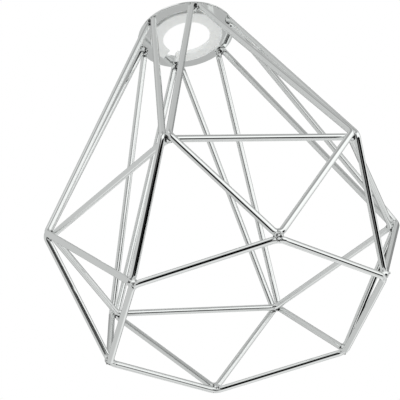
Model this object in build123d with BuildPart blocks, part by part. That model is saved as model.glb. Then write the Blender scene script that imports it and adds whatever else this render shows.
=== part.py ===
"""Wire cage lampshade: six bent wire loops welded to two hexagon rings and a flat fitter plate.

The shade hangs with +Z up. The origin is the centre of the small bore in the split reducer ring,
on the ring's underside, where the lamp holder's nut bears. Sizes are in millimetres.
"""

from build123d import *
import math
import os

# Driving dimensions: the wire
WIRE_D = 3.6
BEND_R = 3.6  # centre line of the tight bends in a loop
RING_BEND_R = 7.0  # centre line of the corners of the two rings

# Driving dimensions: the cage, all on wire centre lines
LOOPS = 6
WAIST_R = 100.0  # circle through the corners where neighbouring loops meet
WAIST_Z = -139.0
LOWER_POINT_R = 77.1  # circle through the loops' lower points
LOWER_POINT_Z = -195.0
CORNER_INSET = 1.95  # how far a loop's corner stops short of its neighbour's mirror line
WAIST_RING_R = 96.1
WAIST_RING_Z = -139.4
MOUTH_RING_R = 77.0
MOUTH_RING_Z = -196.4

# Driving dimensions: the fitter plate and where the wires meet it
PLATE_Z = 1.6  # underside of the plate, and top of the reducer ring's flange
PLATE_R = 29.0
PLATE_HOLE_R = 19.6
PLATE_T = 1.5
PLATE_EDGE_R = 0.4
WIRE_END_R = 27.6
WIRE_END_SPREAD = 1.95  # half the distance between a loop's two ends

# Driving dimensions: the split reducer ring that snaps into the plate's hole
REDUCER_BORE_R = 14.2
REDUCER_STEP_R = 16.1
REDUCER_FLANGE_R = 21.6
REDUCER_LIP_T = 1.1
REDUCER_NECK_R = 19.3
REDUCER_BEAD_R = 20.1
REDUCER_H = 4.3
REDUCER_GAP = 7.6
REDUCER_GAP_AZIMUTH = 230.0
REDUCER_FLANGE_EDGE_R = 0.45
REDUCER_NECK_EDGE_R = 0.3
SNAP_PLAY = 0.1

# Driving dimensions: the weld beads, balls of metal laid over the joints
WAIST_BEAD_D = 6.6
WAIST_BEAD_CIRCLE_R = 96.9
WAIST_BEAD_Z = -139.6
MOUTH_BEAD_D = 5.8
MOUTH_BEAD_CIRCLE_R = 76.8
MOUTH_BEAD_Z = -194.8
COLLAR_BEAD_D = 5.2
COLLAR_BEAD_CIRCLE_R = 27.0
COLLAR_BEAD_Z = 0.8

STEP_ANGLE = 360 / LOOPS
FIRST_LOOP = STEP_ANGLE / 2  # azimuth of the first loop; neighbours meet at 0, 60, 120 degrees


def hexagon_points(radius, height, first):
    """Corners of a level regular hexagon, one per loop."""
    azimuths = [math.radians(first + i * STEP_ANGLE) for i in range(LOOPS)]
    return [(radius * math.cos(a), radius * math.sin(a), height) for a in azimuths]


def print_sweep(name, solid, length):
    """Says how near a swept volume is to the wire's section times its length."""
    expected = math.pi * (WIRE_D / 2) ** 2 * length
    print(name, "volume over section times length", round(solid.volume / expected, 4))


# One wire loop about +X: from the plate out to one waist corner, in to the lower point, out to the
# other waist corner and back to the plate, where both ends are cut level against its underside.
corner_x = WAIST_R * math.cos(math.radians(FIRST_LOOP))
corner_y = WAIST_R * math.sin(math.radians(FIRST_LOOP)) - CORNER_INSET
lower_point = Vector(LOWER_POINT_R, 0, LOWER_POINT_Z)
right_corner = Vector(corner_x, -corner_y, WAIST_Z)
left_corner = Vector(corner_x, corner_y, WAIST_Z)
right_end = Vector(WIRE_END_R, -WIRE_END_SPREAD, PLATE_Z)
left_end = Vector(WIRE_END_R, WIRE_END_SPREAD, PLATE_Z)
trim = 2 * WIRE_D  # extra length that the level cut takes off
right_start = right_end + (right_end - right_corner).normalized() * trim
left_start = left_end + (left_end - left_corner).normalized() * trim

with BuildPart() as wire_loop:
    with BuildLine() as loop_path:
        FilletPolyline(right_start, right_corner, lower_point, left_corner, left_start, radius=BEND_R)
    loop_wire = loop_path.wire()
    with BuildSketch(Plane(origin=loop_wire @ 0, z_dir=loop_wire % 0)):
        Circle(WIRE_D / 2)
    sweep(path=loop_wire)
    print_sweep("wire loop", wire_loop.part, loop_wire.length)
    split(bisect_by=Plane.XY.offset(PLATE_Z), keep=Keep.BOTTOM)

loops = []
for i in range(LOOPS):
    placed_loop = wire_loop.part.rotate(Axis.Z, FIRST_LOOP + i * STEP_ANGLE)
    placed_loop.label = f"wire_loop_{i + 1}"
    loops.append(placed_loop)


# The waist ring: one wire bent to a hexagon, nested inside the loops' waist corners.
with BuildPart() as waist_ring:
    waist_corners = hexagon_points(WAIST_RING_R, WAIST_RING_Z, 0)
    with BuildLine() as waist_path:
        FilletPolyline(waist_corners, radius=RING_BEND_R, close=True)
    waist_wire = waist_path.wire()
    with BuildSketch(Plane(origin=waist_wire @ 0, z_dir=waist_wire % 0)):
        Circle(WIRE_D / 2)
    sweep(path=waist_wire)
    print_sweep("waist ring", waist_ring.part, waist_wire.length)
waist_ring.part.label = "waist_ring"


# The mouth ring: a smaller hexagon turned by half a step, under the loops' lower points.
with BuildPart() as mouth_ring:
    mouth_corners = hexagon_points(MOUTH_RING_R, MOUTH_RING_Z, FIRST_LOOP)
    with BuildLine() as mouth_path:
        FilletPolyline(mouth_corners, radius=RING_BEND_R, close=True)
    mouth_wire = mouth_path.wire()
    with BuildSketch(Plane(origin=mouth_wire @ 0, z_dir=mouth_wire % 0)):
        Circle(WIRE_D / 2)
    sweep(path=mouth_wire)
    print_sweep("mouth ring", mouth_ring.part, mouth_wire.length)
mouth_ring.part.label = "mouth_ring"


# The fitter plate: a flat pressed washer that the twelve wire ends are welded under.
with BuildPart() as fitter_plate:
    with BuildSketch(Plane.XY.offset(PLATE_Z)):
        Circle(PLATE_R)
        Circle(PLATE_HOLE_R, mode=Mode.SUBTRACT)
    extrude(amount=PLATE_T)
    fillet(fitter_plate.edges().filter_by(GeomType.CIRCLE), PLATE_EDGE_R)
fitter_plate.part.label = "fitter_plate"


# The reducer ring: a split plastic ring whose flange lies under the plate, with a neck through the
# plate's hole and a bead that snaps over its top. A thin stepped lip carries the small bore.
snap_z = PLATE_Z + PLATE_T + SNAP_PLAY
with BuildPart() as reducer_ring:
    with BuildSketch(Plane.XZ) as reducer_profile:
        with BuildLine():
            Polyline(
                (REDUCER_BORE_R, 0),
                (REDUCER_FLANGE_R, 0),
                (REDUCER_FLANGE_R, PLATE_Z),
                (REDUCER_NECK_R, PLATE_Z),
                (REDUCER_NECK_R, snap_z),
                (REDUCER_BEAD_R, snap_z),
                (REDUCER_NECK_R, REDUCER_H),
                (REDUCER_STEP_R, REDUCER_H),
                (REDUCER_STEP_R, REDUCER_LIP_T),
                (REDUCER_BORE_R, REDUCER_LIP_T),
                close=True,
            )
        make_face()
        fillet(reducer_profile.vertices().group_by(Axis.X)[-1], REDUCER_FLANGE_EDGE_R)
        fillet(reducer_profile.vertices().group_by(Axis.Y)[-1], REDUCER_NECK_EDGE_R)
    revolve(axis=Axis.Z)
    with BuildSketch():
        with Locations(Rotation(0, 0, REDUCER_GAP_AZIMUTH)):
            Rectangle(2 * REDUCER_FLANGE_R, REDUCER_GAP, align=(Align.MIN, Align.CENTER))
    extrude(amount=REDUCER_H, mode=Mode.SUBTRACT)
reducer_ring.part.label = "reducer_ring"


# The weld beads, a group for each set of like joints. Each ball is cut away by the wires it joins.
with BuildPart() as waist_welds:
    with Locations((0, 0, WAIST_BEAD_Z)):
        with PolarLocations(WAIST_BEAD_CIRCLE_R, LOOPS):
            Sphere(WAIST_BEAD_D / 2)
    add([*loops, waist_ring.part], mode=Mode.SUBTRACT)
waist_welds.part.label = "waist_welds"

with BuildPart() as mouth_welds:
    with Locations((0, 0, MOUTH_BEAD_Z)):
        with PolarLocations(MOUTH_BEAD_CIRCLE_R, LOOPS, start_angle=FIRST_LOOP):
            Sphere(MOUTH_BEAD_D / 2)
    add([*loops, mouth_ring.part], mode=Mode.SUBTRACT)
mouth_welds.part.label = "mouth_welds"

with BuildPart() as collar_welds:
    with Locations((0, 0, COLLAR_BEAD_Z)):
        with PolarLocations(COLLAR_BEAD_CIRCLE_R, LOOPS, start_angle=FIRST_LOOP):
            Sphere(COLLAR_BEAD_D / 2)
    split(bisect_by=Plane.XY.offset(PLATE_Z), keep=Keep.BOTTOM)
    add([*loops], mode=Mode.SUBTRACT)
collar_welds.part.label = "collar_welds"


os.makedirs("parts", exist_ok=True)
for loop in loops:
    export_step(loop, f"parts/{loop.label}.step")
export_step(waist_ring.part, "parts/waist_ring.step")
export_step(mouth_ring.part, "parts/mouth_ring.step")
export_step(fitter_plate.part, "parts/fitter_plate.step")
export_step(reducer_ring.part, "parts/reducer_ring.step")
export_step(waist_welds.part, "parts/waist_welds.step")
export_step(mouth_welds.part, "parts/mouth_welds.step")
export_step(collar_welds.part, "parts/collar_welds.step")
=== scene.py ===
"""Chromed wire lampshade: the cage's wires, welds, plate and plastic ring, dressed over the frame.

Everything is in metres, in the part's own frame, +Z up.
"""

import math
import random

import bmesh
import bpy
from mathutils import Matrix, Vector, kdtree, noise


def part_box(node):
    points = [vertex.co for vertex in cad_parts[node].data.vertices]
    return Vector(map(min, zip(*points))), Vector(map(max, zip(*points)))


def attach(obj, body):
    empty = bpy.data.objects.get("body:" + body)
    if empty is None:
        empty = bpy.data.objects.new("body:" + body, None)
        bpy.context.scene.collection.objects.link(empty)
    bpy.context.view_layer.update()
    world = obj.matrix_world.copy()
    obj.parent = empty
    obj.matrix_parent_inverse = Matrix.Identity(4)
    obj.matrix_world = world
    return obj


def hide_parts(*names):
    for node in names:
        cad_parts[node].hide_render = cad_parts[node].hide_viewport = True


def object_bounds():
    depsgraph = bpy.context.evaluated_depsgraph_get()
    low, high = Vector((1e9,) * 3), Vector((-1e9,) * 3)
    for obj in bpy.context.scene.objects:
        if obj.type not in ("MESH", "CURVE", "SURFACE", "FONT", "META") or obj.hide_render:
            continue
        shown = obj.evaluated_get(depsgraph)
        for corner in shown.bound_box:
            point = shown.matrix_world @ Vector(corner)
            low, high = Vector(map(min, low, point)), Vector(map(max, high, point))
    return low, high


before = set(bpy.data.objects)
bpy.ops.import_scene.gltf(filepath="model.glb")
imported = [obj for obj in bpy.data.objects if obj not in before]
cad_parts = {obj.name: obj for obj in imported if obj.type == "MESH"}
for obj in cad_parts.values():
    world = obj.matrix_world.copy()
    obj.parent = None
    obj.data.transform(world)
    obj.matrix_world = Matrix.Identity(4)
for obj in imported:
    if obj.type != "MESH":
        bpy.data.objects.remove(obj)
cad_low, cad_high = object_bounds()

MM = 0.001

# The cage, on wire centre lines
LOOPS = 6
STEP_ANGLE = 2 * math.pi / LOOPS
HALF_STEP = STEP_ANGLE / 2
WIRE_R = 1.8 * MM
BEND_R = 3.6 * MM
RING_BEND_R = 7.0 * MM
WAIST_R = 100.0 * MM
WAIST_Z = -139.0 * MM
LOWER_POINT_R = 77.1 * MM
LOWER_POINT_Z = -195.0 * MM
CORNER_INSET = 1.95 * MM
WAIST_RING_R = 96.1 * MM
WAIST_RING_Z = -139.4 * MM
MOUTH_RING_R = 77.0 * MM
MOUTH_RING_Z = -196.4 * MM
WIRE_END_R = 27.6 * MM
WIRE_END_SPREAD = 1.95 * MM
PLATE_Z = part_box("fitter_plate")[0].z

# How finely the wires are cut
WIRE_SIDES = 32
ARC_STEPS = 10
RUN_STEP = 4.0 * MM

# The weld metal: lumps of it at each joint, and sleeves of it that thin out along the wires
WELD_VOXEL = 0.22 * MM
WELD_BALL_DETAIL = 2
SLEEVE_STEP = 0.4 * MM
SLEEVE_R = 1.95 * MM
SLEEVE_END_R = 1.7 * MM
SPATTER_COUNT = 6
SPATTER_R = (0.5 * MM, 0.9 * MM)
SPATTER_PLACE = (0.85, 1.05)  # how far from the core's middle, in radii of the core
WELD_SMOOTHING = 2
SMOOTHING_FACTOR = 0.5
WELD_NOISE_SIZE = 1.0 * MM
WELD_NOISE_DEPTH = 0.06 * MM
WELD_SEED = 7
# Each group also sets how dark the painted shade is in the crevices along its welds
WELD_GROUPS = (
    {
        "name": "waist_weld_beads",
        "node": "waist_welds",
        "first": 0.0,
        "core": (96.9 * MM, -139.6 * MM),
        "core_r": 2.3 * MM,
        "reach": 4.0 * MM,
        "crevice_shade_strength": 1.2,
    },
    {
        "name": "mouth_weld_beads",
        "node": "mouth_welds",
        "first": HALF_STEP,
        "core": (76.8 * MM, -194.8 * MM),
        "core_r": 2.8 * MM,
        "reach": 4.0 * MM,
        "crevice_shade_strength": 0.12,
    },
    {
        "name": "collar_weld_beads",
        "node": "collar_welds",
        "first": HALF_STEP,
        "core": (27.0 * MM, 0.8 * MM),
        "core_r": 2.3 * MM,
        "reach": 4.0 * MM,
        "crevice_shade_strength": 1.2,
    },
)
TOE_DISTANCE = 2.2 * MM  # from a wire's centre line to the crevice along the edge of the weld
TOE_WIDTH = 0.45 * MM
COLLAR_SINK = 0.4 * MM  # how far the collar's weld metal runs up into the plate

# The camera, as the photograph was taken: from below, with the shade leaning over
CAMERA_AT = Vector((691.03, 141.62, -589.59)) * MM
CAMERA_RIGHT = Vector((-0.31699, 0.93466, -0.16102)).normalized()
CAMERA_DOWN = Vector((-0.49183, -0.30716, -0.81471)).normalized()
CAMERA_LENS = 137.66
SENSOR_WIDTH = 36.0
PICTURE_SIDE = 400
HALF_PIXEL = 0.5 / PICTURE_SIDE

# Finishes: the size and depth of the marks in each surface. A band is a pair of noise values, between
# which a finish goes from the first to the second of its two roughnesses.
CHROME_COLOR = (0.90, 0.91, 0.905, 1)
SOFT_DETAIL = 1.0
PLAIN_DETAIL = 2.0
FINE_DETAIL = 3.0
CLOUD_DETAIL = 4.0
DIE_LINE = 0.35 * MM
DIE_LINE_LENGTH = 18.0 * MM
DIE_LINE_DEPTH = 0.0015 * MM
DIE_LINE_BAND = (0.3, 0.75)
PEEL_SIZE = 1.2 * MM
PEEL_DEPTH = 0.002 * MM
WIRE_ROUGHNESS = (0.015, 0.05)
PLATE_PEEL_SIZE = 2.5 * MM
PLATE_PEEL_DEPTH = 0.003 * MM
PLATE_CLOUD_SIZE = 9.0 * MM
PLATE_CLOUD_BAND = (0.3, 0.7)
PLATE_ROUGHNESS = (0.03, 0.08)
WELD_RIPPLE_SIZE = 1.4 * MM
WELD_RIPPLE_DEPTH = 0.03 * MM
WELD_PIT_SIZE = 1.3 * MM
WELD_PIT_DEPTH = 0.08 * MM
# The pits and the painted shade in the crevices both darken within this band
WELD_PIT_AND_SHADE_BAND = (0.61, 0.67)
WELD_CREVICE_SHADE_WEIGHT = 0.35  # how much a crevice's painted shade adds to the pits' noise
WELD_ROUGHNESS = (0.24, 0.45)
# Near black, for the pits and for the painted shade in the crevices along the welds
PIT_AND_CREVICE_SHADE_COLOR = (0.03, 0.03, 0.03, 1)
PLASTIC_COLOR = (0.93, 0.935, 0.93, 1)
PLASTIC_GRAIN_SIZE = 0.5 * MM
PLASTIC_GRAIN_DEPTH = 0.01 * MM
PLASTIC_FLOW_SIZE = 12.0 * MM
PLASTIC_FLOW_BAND = (0.3, 0.7)
PLASTIC_ROUGHNESS = (0.30, 0.42)
PLASTIC_GLOW = 0.15  # share of the light that goes through the plastic's skin
PLASTIC_GLOW_DEPTH = (1.5 * MM, 1.4 * MM, 1.3 * MM)
FLOOR_R = 1.6
FLOOR_SIDES = 96
FLOOR_FADE = (0.35, 0.95)  # shares of the floor's radius, between which it fades out
FLOOR_COLOR = (0.93, 0.93, 0.925, 1)
FLOOR_ROUGHNESS = 0.9

# The studio that the chrome mirrors: brightness from 0 to about 1, angles in degrees. Yaw is to the
# camera's right and pitch is up, both from the direction of the camera as the shade sees it.
STUDIO_COLOR = (0.985, 1.0, 0.993, 1)
BACKDROP_COLOR = (1, 1, 1, 1)
SURROUND_LEVEL = 0.60
DOME_LOW = 0.92
DOME_HIGH = 1.05
STUDIO_PANELS = (
    {"yaw": 174, "pitch": 0, "half_width": 30, "half_height": 26, "soft": 22, "level": 0.22},
    {"yaw": 166, "pitch": 46, "half_width": 24, "half_height": 14, "soft": 12, "level": 0.54},
    {"yaw": 153, "pitch": 22, "half_width": 10, "half_height": 9, "soft": 8, "level": 0.24},
    {"yaw": 118, "pitch": -12, "half_width": 18, "half_height": 24, "soft": 16, "level": 0.76},
    {"yaw": 52, "pitch": 32, "half_width": 46, "half_height": 27, "soft": 12, "level": 1.10},
    {"yaw": 88, "pitch": 4, "half_width": 12, "half_height": 12, "soft": 10, "level": 1.05},
    {"yaw": 60, "pitch": 84, "half_width": 27, "half_height": 25, "soft": 8, "level": 0.40},
    {"yaw": -62, "pitch": 60, "half_width": 13, "half_height": 12, "soft": 8, "level": 0.92},
    {"yaw": -24, "pitch": 45, "half_width": 10, "half_height": 14, "soft": 8, "level": 0.26},
    {"yaw": 154, "pitch": -46, "half_width": 20, "half_height": 18, "soft": 12, "level": 0.86},
    {"yaw": 30, "pitch": -74, "half_width": 34, "half_height": 20, "soft": 14, "level": 0.86},
    {"yaw": 134, "pitch": -71, "half_width": 11, "half_height": 9, "soft": 8, "level": 0.50},
    {"yaw": 0, "pitch": -14, "half_width": 42, "half_height": 10, "soft": 6, "level": 0.17},
    {"yaw": 4, "pitch": -5, "half_width": 28, "half_height": 5, "soft": 5, "level": 0.02},
    {"yaw": -23, "pitch": -4, "half_width": 12, "half_height": 32, "soft": 5, "level": 0.0},
    {"yaw": -36, "pitch": -14, "half_width": 8, "half_height": 9, "soft": 5, "level": 0.0},
    {"yaw": 46, "pitch": -8, "half_width": 30, "half_height": 16, "soft": 5, "level": 0.0},
    {"yaw": 47, "pitch": 6, "half_width": 16, "half_height": 8, "soft": 5, "level": 0.0},
    {"yaw": 84, "pitch": -21, "half_width": 7, "half_height": 13, "soft": 6, "level": 0.0},
)


def new_mesh_object(name, bm, smooth=True):
    """Turns a bmesh into an object in the scene."""
    mesh = bpy.data.meshes.new(name)
    bm.to_mesh(mesh)
    bm.free()
    for polygon in mesh.polygons:
        polygon.use_smooth = smooth
    piece = bpy.data.objects.new(name, mesh)
    bpy.context.scene.collection.objects.link(piece)
    return piece


def turned(point, angle):
    """The point turned about +Z."""
    return Matrix.Rotation(angle, 3, "Z") @ Vector(point)


def rounded_path(corners, radius, closed):
    """Points along straight runs joined by tangent arcs of one radius."""
    count = len(corners)
    inner = range(count) if closed else range(1, count - 1)
    stations = [] if closed else [Vector(corners[0])]
    for i in inner:
        before, corner, after = corners[i - 1], corners[i], corners[(i + 1) % count]
        back = (before - corner).normalized()
        ahead = (after - corner).normalized()
        half_turn = back.angle(ahead) / 2
        reach = radius / math.tan(half_turn)
        centre = corner + (back + ahead).normalized() * (radius / math.sin(half_turn))
        start = corner + back * reach - centre
        end = corner + ahead * reach - centre
        sweep_angle = start.angle(end)
        for k in range(ARC_STEPS + 1):
            share = k / ARC_STEPS
            a = math.sin((1 - share) * sweep_angle) / math.sin(sweep_angle)
            b = math.sin(share * sweep_angle) / math.sin(sweep_angle)
            stations.append(centre + start * a + end * b)
    if closed:
        stations.append(stations[0])
    else:
        stations.append(Vector(corners[-1]))
    path = [stations[0]]
    for a, b in zip(stations[:-1], stations[1:]):
        pieces = max(1, round((b - a).length / RUN_STEP))
        for k in range(1, pieces + 1):
            path.append(a.lerp(b, k / pieces))
    return path[:-1] if closed else path


def frames_along(path, closed):
    """A tangent and a side vector at each point, carried along without twist."""
    count = len(path)
    tangents = []
    for i in range(count):
        if closed:
            ahead, behind = path[(i + 1) % count], path[i - 1]
        else:
            ahead, behind = path[min(i + 1, count - 1)], path[max(i - 1, 0)]
        tangents.append((ahead - behind).normalized())
    side = tangents[0].orthogonal().normalized()
    sides = []
    for i in range(count):
        if i:
            side = tangents[i - 1].rotation_difference(tangents[i]) @ side
        side = (side - tangents[i] * side.dot(tangents[i])).normalized()
        sides.append(side.copy())
    if closed:
        last = tangents[-1].rotation_difference(tangents[0]) @ sides[-1]
        twist = math.atan2(last.cross(sides[0]).dot(tangents[0]), last.dot(sides[0]))
        for i in range(count):
            sides[i] = Matrix.Rotation(twist * i / count, 3, tangents[i]) @ sides[i]
    return tangents, sides


def tube(name, path, closed, level_at=None):
    """A round wire along a path. Its two open ends are cut level where level_at gives a height."""
    tangents, sides = frames_along(path, closed)
    bm = bmesh.new()
    uv_layer = bm.loops.layers.uv.new("wire")
    rings = []
    for point, tangent, side in zip(path, tangents, sides):
        other = tangent.cross(side)
        ring = []
        for k in range(WIRE_SIDES):
            angle = 2 * math.pi * k / WIRE_SIDES
            offset = (side * math.cos(angle) + other * math.sin(angle)) * WIRE_R
            ring.append(bm.verts.new(point + offset))
        rings.append(ring)
    if level_at is not None:
        for ring, tangent in ((rings[0], tangents[0]), (rings[-1], tangents[-1])):
            for vertex in ring:
                vertex.co += tangent * ((level_at - vertex.co.z) / tangent.z)
    lengths = [0.0]
    for a, b in zip(path[:-1], path[1:]):
        lengths.append(lengths[-1] + (b - a).length)
    if closed:
        lengths.append(lengths[-1] + (path[0] - path[-1]).length)
    pairs = [(i, (i + 1) % len(rings)) for i in range(len(rings) if closed else len(rings) - 1)]
    around = 2 * math.pi * WIRE_R
    for i, j in pairs:
        for k in range(WIRE_SIDES):
            n = (k + 1) % WIRE_SIDES
            face = bm.faces.new((rings[i][k], rings[i][n], rings[j][n], rings[j][k]))
            left, right = around * k / WIRE_SIDES, around * (k + 1) / WIRE_SIDES
            start, end = lengths[i], lengths[i + 1]
            places = ((left, start), (right, start), (right, end), (left, end))
            for loop, place in zip(face.loops, places):
                loop[uv_layer].uv = place
    if not closed:
        bm.faces.new(list(reversed(rings[0])))
        bm.faces.new(rings[-1])
    bmesh.ops.recalc_face_normals(bm, faces=bm.faces[:])
    return new_mesh_object(name, bm)


def loop_corners():
    """The corners of one wire loop that stands about +X, from one plate end to the other."""
    x = WAIST_R * math.cos(HALF_STEP)
    y = WAIST_R * math.sin(HALF_STEP) - CORNER_INSET
    return [
        Vector((WIRE_END_R, -WIRE_END_SPREAD, PLATE_Z)),
        Vector((x, -y, WAIST_Z)),
        Vector((LOWER_POINT_R, 0, LOWER_POINT_Z)),
        Vector((x, y, WAIST_Z)),
        Vector((WIRE_END_R, WIRE_END_SPREAD, PLATE_Z)),
    ]


def ring_corners(radius, height, first):
    """The corners of a level hexagon."""
    return [turned((radius, 0, height), first + i * STEP_ANGLE) for i in range(LOOPS)]


def ring_path(radius, height, first):
    """The centre line of a wire ring."""
    return rounded_path(ring_corners(radius, height, first), RING_BEND_R, closed=True)


def loop_path(number):
    """The centre line of one of the six wire loops."""
    corners = [turned(p, HALF_STEP + number * STEP_ANGLE) for p in loop_corners()]
    return rounded_path(corners, BEND_R, closed=False)


def close_points(path, closed, centre, reach):
    """Points at even steps along a path, those within reach of a centre, each with its distance."""
    found = []
    ends = path[1:] + path[:1] if closed else path[1:]
    for a, b in zip(path, ends):
        pieces = max(1, round((b - a).length / SLEEVE_STEP))
        for k in range(pieces):
            point = a.lerp(b, k / pieces)
            distance = (point - centre).length
            if distance < reach:
                found.append((point, distance))
    return found


def add_ball(bm, centre, radius):
    """Adds one ball of weld metal."""
    bmesh.ops.create_icosphere(
        bm, subdivisions=WELD_BALL_DETAIL, radius=radius, matrix=Matrix.Translation(centre)
    )


def add_joint_balls(bm, centre, group, paths, draw):
    """The balls that one joint's weld metal is fused from: a core, spatter on it and wire sleeves."""
    spine = []
    add_ball(bm, centre, group["core_r"])
    for _ in range(SPATTER_COUNT):
        heading = Vector((draw.uniform(-1, 1), draw.uniform(-1, 1), draw.uniform(-1, 1))).normalized()
        place = centre + heading * group["core_r"] * draw.uniform(*SPATTER_PLACE)
        add_ball(bm, place, draw.uniform(*SPATTER_R))
    for path, closed in paths:
        for point, distance in close_points(path, closed, centre, group["reach"]):
            share = distance / group["reach"]
            add_ball(bm, point, SLEEVE_R + (SLEEVE_END_R - SLEEVE_R) * share ** 2)
            spine.append(point)
    return spine


def fused(name, bm):
    """Melts overlapping balls to one skin, then ripples it."""
    rough = new_mesh_object(name + "_rough", bm)
    remesh = rough.modifiers.new("fuse", "REMESH")
    remesh.mode = "VOXEL"
    remesh.voxel_size = WELD_VOXEL
    depsgraph = bpy.context.evaluated_depsgraph_get()
    skin = bmesh.new()
    skin.from_object(rough, depsgraph)
    mesh = rough.data
    bpy.data.objects.remove(rough)
    bpy.data.meshes.remove(mesh)
    for _ in range(WELD_SMOOTHING):
        bmesh.ops.smooth_vert(
            skin,
            verts=skin.verts[:],
            factor=SMOOTHING_FACTOR,
            use_axis_x=True,
            use_axis_y=True,
            use_axis_z=True,
        )
    skin.normal_update()
    for vertex in skin.verts:
        ripple = noise.noise(vertex.co / WELD_NOISE_SIZE)
        vertex.co += vertex.normal * (ripple * WELD_NOISE_DEPTH)
    return skin


def mark_toes(skin, spine, crevice_shade_strength):
    """Marks the crevices, where the weld metal meets the wires, in a vertex attribute named toe, which
    sets how dark the painted shade is there.
    """
    tree = kdtree.KDTree(len(spine))
    for i, point in enumerate(spine):
        tree.insert(point, i)
    tree.balance()
    layer = skin.verts.layers.float.new("toe")
    for vertex in skin.verts:
        distance = tree.find(vertex.co)[2]
        vertex[layer] = crevice_shade_strength * max(0.0, 1.0 - abs(distance - TOE_DISTANCE) / TOE_WIDTH)


def make_welds(material):
    """The uneven weld metal at every joint, a piece for each group of beads in the frame."""
    paths = [(loop_path(i), False) for i in range(LOOPS)]
    paths.append((ring_path(WAIST_RING_R, WAIST_RING_Z, 0.0), True))
    paths.append((ring_path(MOUTH_RING_R, MOUTH_RING_Z, HALF_STEP), True))
    draw = random.Random(WELD_SEED)
    for group in WELD_GROUPS:
        radius, height = group["core"]
        bm = bmesh.new()
        spine = []
        for joint in range(LOOPS):
            centre = turned((radius, 0, height), group["first"] + joint * STEP_ANGLE)
            spine += add_joint_balls(bm, centre, group, paths, draw)
        skin = fused(group["name"], bm)
        mark_toes(skin, spine, group["crevice_shade_strength"])
        if group["node"] == "collar_welds":
            for vertex in skin.verts:
                vertex.co.z = min(vertex.co.z, PLATE_Z + COLLAR_SINK)
        piece = new_mesh_object(group["name"], skin)
        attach(piece, "root")
        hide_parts(group["node"])
        dress(piece, material)


def make_camera():
    """The camera, placed by the direction of its picture's sides."""
    data = bpy.data.cameras.new("camera")
    data.sensor_width = SENSOR_WIDTH
    data.lens = CAMERA_LENS
    data.shift_x = -HALF_PIXEL
    data.shift_y = HALF_PIXEL
    camera = bpy.data.objects.new("camera", data)
    forward = CAMERA_RIGHT.cross(CAMERA_DOWN)
    axes = Matrix((CAMERA_RIGHT, -CAMERA_DOWN, -forward)).transposed()
    camera.matrix_world = Matrix.Translation(CAMERA_AT) @ axes.to_4x4()
    bpy.context.scene.collection.objects.link(camera)
    bpy.context.scene.camera = camera


def link(tree, source, target):
    """Joins an output socket to an input socket."""
    tree.links.new(source, target)


def calc(tree, operation, a, b=0.0):
    """One Math node. Each input is a number or a socket."""
    node = tree.nodes.new("ShaderNodeMath")
    node.operation = operation
    for socket, given in zip(node.inputs, (a, b)):
        if isinstance(given, bpy.types.NodeSocket):
            link(tree, given, socket)
        else:
            socket.default_value = given
    return node.outputs[0]


def dot(tree, vector, axis):
    """How far a vector socket points along a fixed axis."""
    node = tree.nodes.new("ShaderNodeVectorMath")
    node.operation = "DOT_PRODUCT"
    link(tree, vector, node.inputs[0])
    node.inputs[1].default_value = axis
    return node.outputs["Value"]


def stepped(tree, value, start, end, low=0.0, high=1.0):
    """A smooth step from low at start to high at end."""
    node = tree.nodes.new("ShaderNodeMapRange")
    node.interpolation_type = "SMOOTHSTEP"
    link(tree, value, node.inputs["Value"])
    for key, given in (("From Min", start), ("From Max", end), ("To Min", low), ("To Max", high)):
        node.inputs[key].default_value = given
    return node.outputs["Result"]


def blended(tree, share, low, high):
    """Goes from low to high, numbers or sockets, as share goes from 0 to 1."""
    node = tree.nodes.new("ShaderNodeMix")
    node.data_type = "FLOAT"
    for key, given in (("Factor", share), ("A", low), ("B", high)):
        if isinstance(given, bpy.types.NodeSocket):
            link(tree, given, node.inputs[key])
        else:
            node.inputs[key].default_value = given
    return node.outputs["Result"]


def tinted(tree, share, low, high):
    """Goes from the color low to the color high as the socket share goes from 0 to 1."""
    node = tree.nodes.new("ShaderNodeMix")
    node.data_type = "RGBA"
    link(tree, share, node.inputs["Factor"])
    node.inputs["A"].default_value = low
    node.inputs["B"].default_value = high
    return node.outputs["Result"]


def noise_of(tree, place, scale, detail=PLAIN_DETAIL):
    """A noise socket, from 0 to 1."""
    node = tree.nodes.new("ShaderNodeTexNoise")
    link(tree, place, node.inputs["Vector"])
    node.inputs["Scale"].default_value = scale
    node.inputs["Detail"].default_value = detail
    return node.outputs["Fac"]


def stretched(tree, place, scale):
    """A place socket scaled by a different amount along each axis."""
    node = tree.nodes.new("ShaderNodeMapping")
    link(tree, place, node.inputs["Vector"])
    node.inputs["Scale"].default_value = scale
    return node.outputs["Vector"]


def bumped(tree, heights, distance, normal=None):
    """Turns a height socket into a normal, in metres of depth."""
    node = tree.nodes.new("ShaderNodeBump")
    node.inputs["Strength"].default_value = 1.0
    node.inputs["Distance"].default_value = distance
    link(tree, heights, node.inputs["Height"])
    if normal is not None:
        link(tree, normal, node.inputs["Normal"])
    return node.outputs["Normal"]


def new_shader(name):
    """A new material, its tree, its shader and the socket that says where a point is on its piece."""
    material = bpy.data.materials.new(name)
    material.use_nodes = True
    tree = material.node_tree
    place = tree.nodes.new("ShaderNodeTexCoord").outputs["Object"]
    return material, tree, tree.nodes["Principled BSDF"], place


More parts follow.
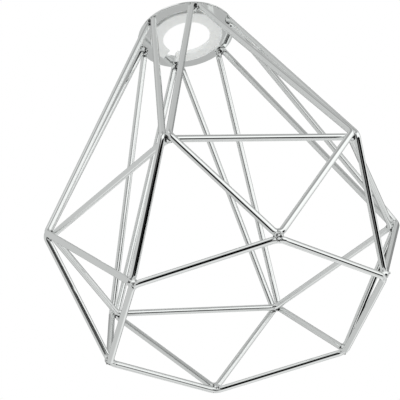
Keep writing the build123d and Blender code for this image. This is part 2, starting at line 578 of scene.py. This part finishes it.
def drawn_wire_chrome():
    """Bright chrome over drawn steel wire: faint die lines along the wire and a soft orange peel."""
    material, tree, shader, place = new_shader("wire_chrome")
    shader.inputs["Base Color"].default_value = CHROME_COLOR
    shader.inputs["Metallic"].default_value = 1.0
    along_wire = tree.nodes.new("ShaderNodeUVMap")
    along_wire.uv_map = "wire"
    line_place = stretched(tree, along_wire.outputs["UV"], (1 / DIE_LINE, 1 / DIE_LINE_LENGTH, 1))
    lines = noise_of(tree, line_place, 1.0, FINE_DETAIL)
    peel = noise_of(tree, place, 1 / PEEL_SIZE)
    normal = bumped(tree, lines, DIE_LINE_DEPTH)
    normal = bumped(tree, peel, PEEL_DEPTH, normal)
    link(tree, normal, shader.inputs["Normal"])
    link(tree, stepped(tree, lines, *DIE_LINE_BAND, *WIRE_ROUGHNESS), shader.inputs["Roughness"])
    return material


def pressed_plate_chrome():
    """Bright chrome over a flat pressing."""
    material, tree, shader, place = new_shader("plate_chrome")
    shader.inputs["Base Color"].default_value = CHROME_COLOR
    shader.inputs["Metallic"].default_value = 1.0
    peel = noise_of(tree, place, 1 / PLATE_PEEL_SIZE)
    clouds = noise_of(tree, place, 1 / PLATE_CLOUD_SIZE, CLOUD_DETAIL)
    link(tree, bumped(tree, peel, PLATE_PEEL_DEPTH), shader.inputs["Normal"])
    link(tree, stepped(tree, clouds, *PLATE_CLOUD_BAND, *PLATE_ROUGHNESS), shader.inputs["Roughness"])
    return material


def weld_chrome():
    """Chrome over weld metal: rippled, with small dark pits where the plating did not take, and painted
    shade near black in the crevices where it meets the wires.
    """
    material, tree, shader, place = new_shader("weld_chrome")
    shader.inputs["Metallic"].default_value = 1.0
    ripple = noise_of(tree, place, 1 / WELD_RIPPLE_SIZE, FINE_DETAIL)
    pits = noise_of(tree, place, 1 / WELD_PIT_SIZE, SOFT_DETAIL)
    toe = tree.nodes.new("ShaderNodeAttribute")
    toe.attribute_name = "toe"
    # Painted shade in the crevices along the wires, added to the pits' noise
    crevice_shade = calc(tree, "MULTIPLY", toe.outputs["Fac"], WELD_CREVICE_SHADE_WEIGHT)
    pits_and_crevice_shade = stepped(tree, calc(tree, "ADD", pits, crevice_shade), *WELD_PIT_AND_SHADE_BAND)
    link(tree, tinted(tree, pits_and_crevice_shade, CHROME_COLOR, PIT_AND_CREVICE_SHADE_COLOR), shader.inputs["Base Color"])
    normal = bumped(tree, ripple, WELD_RIPPLE_DEPTH)
    normal = bumped(tree, calc(tree, "SUBTRACT", 1.0, pits_and_crevice_shade), WELD_PIT_DEPTH, normal)
    link(tree, normal, shader.inputs["Normal"])
    link(tree, blended(tree, pits_and_crevice_shade, *WELD_ROUGHNESS), shader.inputs["Roughness"])
    return material


def moulded_plastic():
    """White moulded plastic, a little translucent, with a fine satin grain."""
    material, tree, shader, place = new_shader("white_plastic")
    shader.inputs["Base Color"].default_value = PLASTIC_COLOR
    shader.inputs["Subsurface Weight"].default_value = PLASTIC_GLOW
    shader.inputs["Subsurface Radius"].default_value = PLASTIC_GLOW_DEPTH
    shader.inputs["Subsurface Scale"].default_value = 1.0
    grain = noise_of(tree, place, 1 / PLASTIC_GRAIN_SIZE, FINE_DETAIL)
    flow = noise_of(tree, place, 1 / PLASTIC_FLOW_SIZE)
    link(tree, bumped(tree, grain, PLASTIC_GRAIN_DEPTH), shader.inputs["Normal"])
    link(tree, stepped(tree, flow, *PLASTIC_FLOW_BAND, *PLASTIC_ROUGHNESS), shader.inputs["Roughness"])
    return material


def dress(piece, material):
    """Gives a piece one material all over."""
    piece.data.materials.clear()
    piece.data.materials.append(material)


def make_wires(material):
    """The six bent loops and the two rings."""
    for i in range(LOOPS):
        piece = tube(f"bent_loop_{i + 1}", loop_path(i), False, level_at=PLATE_Z)
        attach(piece, "root")
        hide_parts(f"wire_loop_{i + 1}")
        dress(piece, material)
    rings = (
        ("waist_wire", "waist_ring", WAIST_RING_R, WAIST_RING_Z, 0.0),
        ("mouth_wire", "mouth_ring", MOUTH_RING_R, MOUTH_RING_Z, HALF_STEP),
    )
    for name, node, radius, height, first in rings:
        piece = tube(name, ring_path(radius, height, first), True)
        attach(piece, "root")
        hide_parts(node)
        dress(piece, material)


def studio_axes(yaw, pitch):
    """The middle, sideways and upward axes of a studio panel, turned from the camera's own place."""
    up = -CAMERA_DOWN
    back = -CAMERA_RIGHT.cross(CAMERA_DOWN)
    turn = Matrix.Rotation(math.radians(yaw), 3, up)
    sideways = turn @ CAMERA_RIGHT
    tilt = Matrix.Rotation(math.radians(-pitch), 3, sideways)
    return tilt @ turn @ back, sideways, tilt @ up


def add_panel(tree, direction, brightness, panel):
    """Lays one soft-edged panel over the studio's brightness so far."""
    middle, sideways, upward = studio_axes(panel["yaw"], panel["pitch"])
    ahead = dot(tree, direction, middle)
    across = dot(tree, direction, sideways)
    above = dot(tree, direction, upward)
    mask = None
    for angle, half in (
        (calc(tree, "ARCTAN2", across, ahead), panel["half_width"]),
        (calc(tree, "ARCSINE", above), panel["half_height"]),
    ):
        size = calc(tree, "ABSOLUTE", angle)
        outer = math.radians(half + panel["soft"] / 2)
        inner = math.radians(max(half - panel["soft"] / 2, 0.0))
        share = stepped(tree, size, inner, outer, 1.0, 0.0)
        mask = share if mask is None else calc(tree, "MULTIPLY", mask, share)
    return blended(tree, mask, brightness, panel["level"])


def make_world():
    """A pale studio: plain white to the camera, a soft dome to diffuse light, panels to the mirrors."""
    world = bpy.data.worlds.new("studio")
    bpy.context.scene.world = world
    world.use_nodes = True
    tree = world.node_tree
    background = tree.nodes["Background"]
    direction = tree.nodes.new("ShaderNodeTexCoord").outputs["Generated"]
    rays = tree.nodes.new("ShaderNodeLightPath").outputs
    mirrored = SURROUND_LEVEL
    for panel in STUDIO_PANELS:
        mirrored = add_panel(tree, direction, mirrored, panel)
    dome = stepped(tree, dot(tree, direction, (0, 0, 1)), -1.0, 1.0, DOME_LOW, DOME_HIGH)
    seen = blended(tree, rays["Is Diffuse Ray"], mirrored, dome)
    seen = blended(tree, rays["Is Camera Ray"], seen, 1.0)
    color = tinted(tree, rays["Is Camera Ray"], STUDIO_COLOR, BACKDROP_COLOR)
    link(tree, color, background.inputs["Color"])
    link(tree, seen, background.inputs["Strength"])


def make_floor():
    """A pale floor under the mouth ring, faded out far from the shade and see-through from below."""
    bm = bmesh.new()
    bmesh.ops.create_circle(bm, cap_ends=True, segments=FLOOR_SIDES, radius=FLOOR_R)
    floor = new_mesh_object("floor", bm, smooth=False)
    floor.location.z = cad_low.z
    floor.visible_glossy = False
    material, tree, shader, place = new_shader("floor")
    shader.inputs["Base Color"].default_value = FLOOR_COLOR
    shader.inputs["Roughness"].default_value = FLOOR_ROUGHNESS
    shader.inputs["Specular IOR Level"].default_value = 0.0
    reach = tree.nodes.new("ShaderNodeVectorMath")
    reach.operation = "LENGTH"
    link(tree, place, reach.inputs[0])
    fade_start, fade_end = (share * FLOOR_R for share in FLOOR_FADE)
    faded = stepped(tree, reach.outputs["Value"], fade_start, fade_end)
    below = tree.nodes.new("ShaderNodeNewGeometry").outputs["Backfacing"]
    clear = calc(tree, "MAXIMUM", faded, below)
    mix = tree.nodes.new("ShaderNodeMixShader")
    transparent = tree.nodes.new("ShaderNodeBsdfTransparent")
    link(tree, clear, mix.inputs[0])
    link(tree, shader.outputs["BSDF"], mix.inputs[1])
    link(tree, transparent.outputs["BSDF"], mix.inputs[2])
    link(tree, mix.outputs["Shader"], tree.nodes["Material Output"].inputs["Surface"])
    dress(floor, material)


make_camera()
make_world()
make_floor()
make_wires(drawn_wire_chrome())
dress(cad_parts["fitter_plate"], pressed_plate_chrome())
dress(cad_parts["reducer_ring"], moulded_plastic())
make_welds(weld_chrome())

bpy.context.scene.view_settings.view_transform = "Standard"
